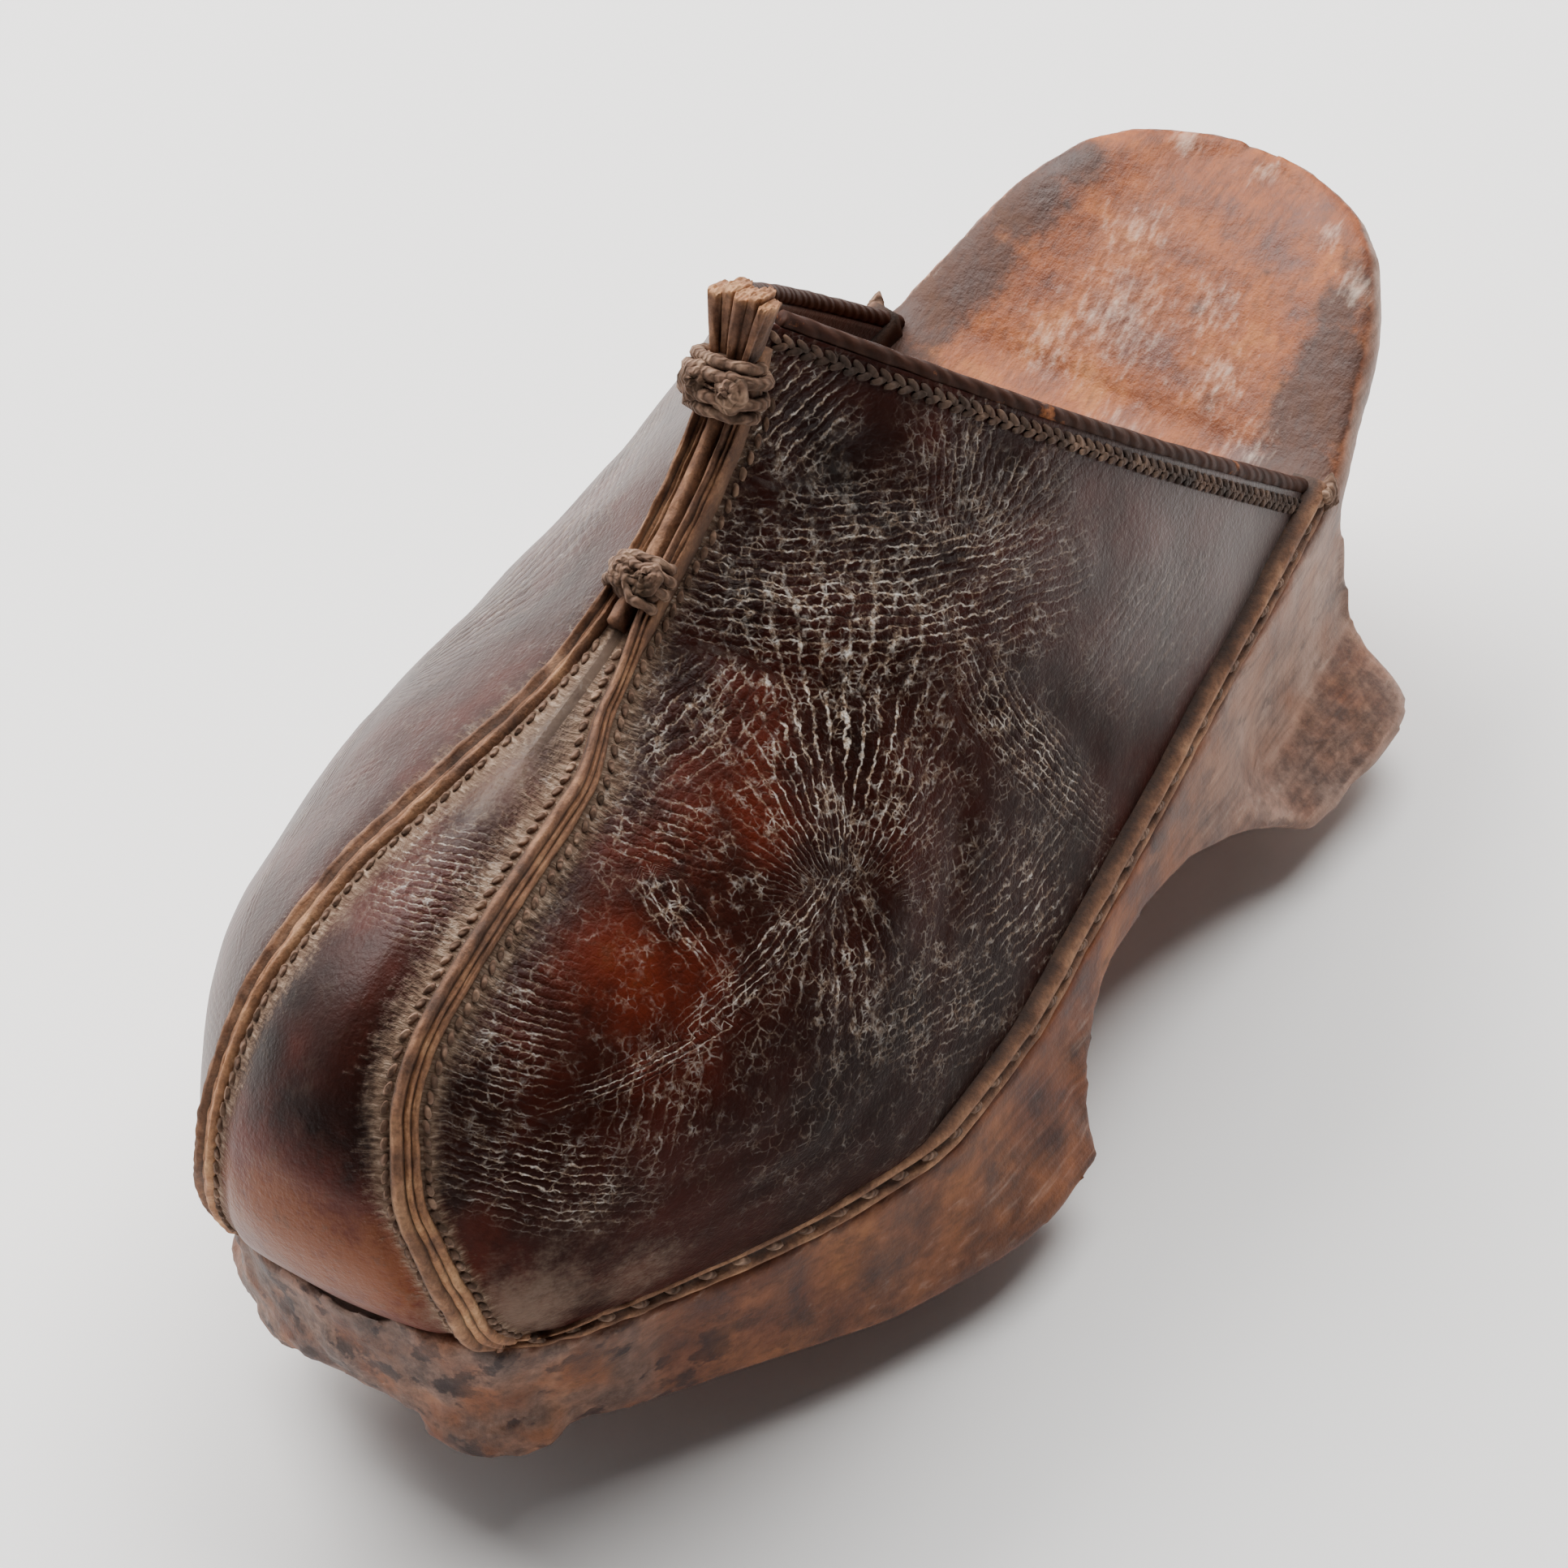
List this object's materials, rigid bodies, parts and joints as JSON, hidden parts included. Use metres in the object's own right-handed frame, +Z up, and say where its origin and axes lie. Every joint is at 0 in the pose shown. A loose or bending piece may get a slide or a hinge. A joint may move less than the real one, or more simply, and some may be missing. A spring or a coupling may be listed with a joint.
{
  "type": "ice shoe with a wooden sole",
  "caption": "Backless leather ice shoe on a carved wooden sole with a front block, a heel block and flat iron blades underneath.",
  "frame": {"origin": "middle of the footprint, on the plane that the blades' tips stand on", "axes": "+X runs to the toe, +Y to the wearer's left, +Z up"},
  "size_m": [0.246, 0.1208, 0.1387],
  "materials": {
    "wood": "worn bare wood, dark stains and scratches",
    "leather": "glossy dark brown leather, crackled and dusty in its creases",
    "raw_leather": "cut leather edges, tan, dry and dusty",
    "thread": "waxed linen thread, dusty",
    "binding": "dark rolled edge, worn to orange in places",
    "iron": "rusted forged iron, tips worn grey"
  },
  "bodies": {
    "root": {"sole": "wood", "upper": "leather", "seam_left": "raw_leather", "seam_right": "raw_leather", "panel_tail": "raw_leather", "seam_stub": "raw_leather", "welt_left": "raw_leather", "welt_right": "raw_leather", "knot_lower": "thread", "knot_upper": "thread", "collar_binding_left": "binding", "collar_binding_right": "binding", "blade_front_left": "iron", "blade_front_right": "iron", "blade_heel_left": "iron", "blade_heel_right": "iron"}
  },
  "joints": []
}
